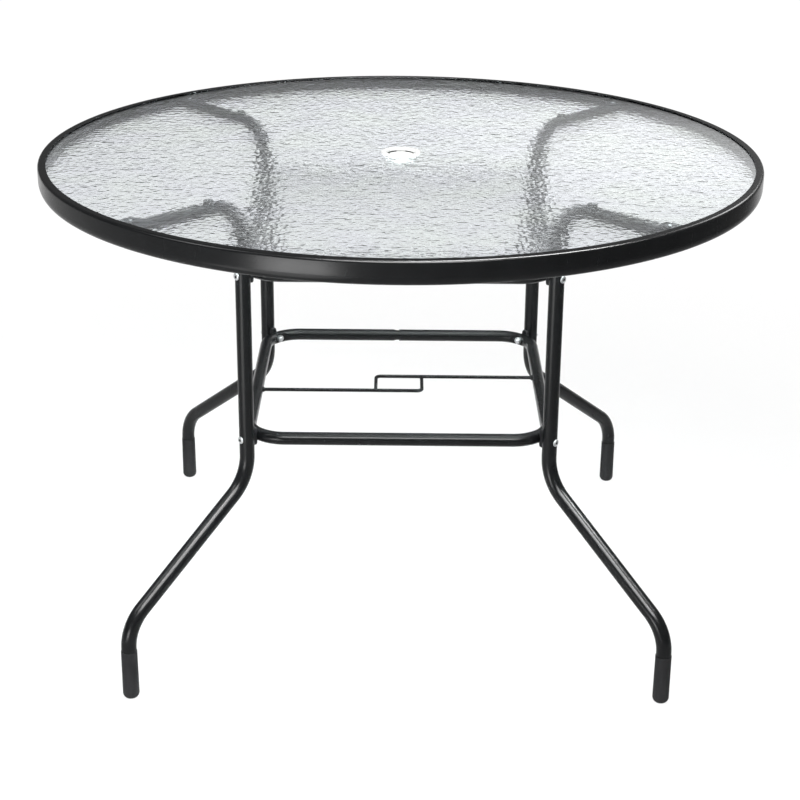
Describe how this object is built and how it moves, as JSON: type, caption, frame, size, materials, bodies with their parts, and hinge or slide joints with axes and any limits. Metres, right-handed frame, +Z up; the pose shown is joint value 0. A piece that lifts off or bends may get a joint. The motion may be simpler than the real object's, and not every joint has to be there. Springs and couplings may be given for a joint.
{
  "type": "umbrella table",
  "caption": "Round patio table: pebbled glass top in a rolled steel rim, bent tube legs with foot caps, square tube braces, a white umbrella ring and guide wires.",
  "frame": {"origin": "on the floor, straight under the middle of the umbrella hole", "axes": "+Z up, -Y towards the viewer of the picture, +X to the viewer's right"},
  "size_m": [1.0668, 1.0668, 0.7112],
  "materials": {
    "black_paint": "black powder coat, low sheen",
    "pebbled_glass": "tempered glass with a fine pebbled relief",
    "white_plastic": "moulded white, satin",
    "cap_plastic": "moulded black, matte",
    "saddle_plastic": "moulded black, semi-matte",
    "zinc": "bright zinc plate",
    "rubber": "matte black"
  },
  "bodies": {
    "table": {"rim": "black_paint", "glass_top": "pebbled_glass", "lower_brace": "black_paint", "upper_brace": "black_paint", "front_guide_wire": "black_paint", "back_guide_wire": "black_paint", "leg_front_left": "black_paint", "foot_cap_front_left": "cap_plastic", "glass_pad_front_left": "rubber", "rim_bracket_front_left": "black_paint", "bracket_screw_front_left": "zinc", "saddle_lower_front_left": "saddle_plastic", "bolt_lower_front_left": "zinc", "nut_lower_front_left": "zinc", "saddle_upper_front_left": "saddle_plastic", "bolt_upper_front_left": "zinc", "nut_upper_front_left": "zinc", "leg_front_right": "black_paint", "foot_cap_front_right": "cap_plastic", "glass_pad_front_right": "rubber", "rim_bracket_front_right": "black_paint", "bracket_screw_front_right": "zinc", "saddle_lower_front_right": "saddle_plastic", "bolt_lower_front_right": "zinc", "nut_lower_front_right": "zinc", "saddle_upper_front_right": "saddle_plastic", "bolt_upper_front_right": "zinc", "nut_upper_front_right": "zinc", "leg_back_right": "black_paint", "foot_cap_back_right": "cap_plastic", "glass_pad_back_right": "rubber", "rim_bracket_back_right": "black_paint", "bracket_screw_back_right": "zinc", "saddle_lower_back_right": "saddle_plastic", "bolt_lower_back_right": "zinc", "nut_lower_back_right": "zinc", "saddle_upper_back_right": "saddle_plastic", "bolt_upper_back_right": "zinc", "nut_upper_back_right": "zinc", "leg_back_left": "black_paint", "foot_cap_back_left": "cap_plastic", "glass_pad_back_left": "rubber", "rim_bracket_back_left": "black_paint", "bracket_screw_back_left": "zinc", "saddle_lower_back_left": "saddle_plastic", "bolt_lower_back_left": "zinc", "nut_lower_back_left": "zinc", "saddle_upper_back_left": "saddle_plastic", "bolt_upper_back_left": "zinc", "nut_upper_back_left": "zinc"},
    "umbrella_ring": {"umbrella_ring": "white_plastic"}
  },
  "joints": [
    {"name": "umbrella_ring_lift", "type": "slide", "parent": "table", "child": "umbrella_ring", "axis": [0, 0, 1], "range_m": [0, 0.03]}
  ]
}
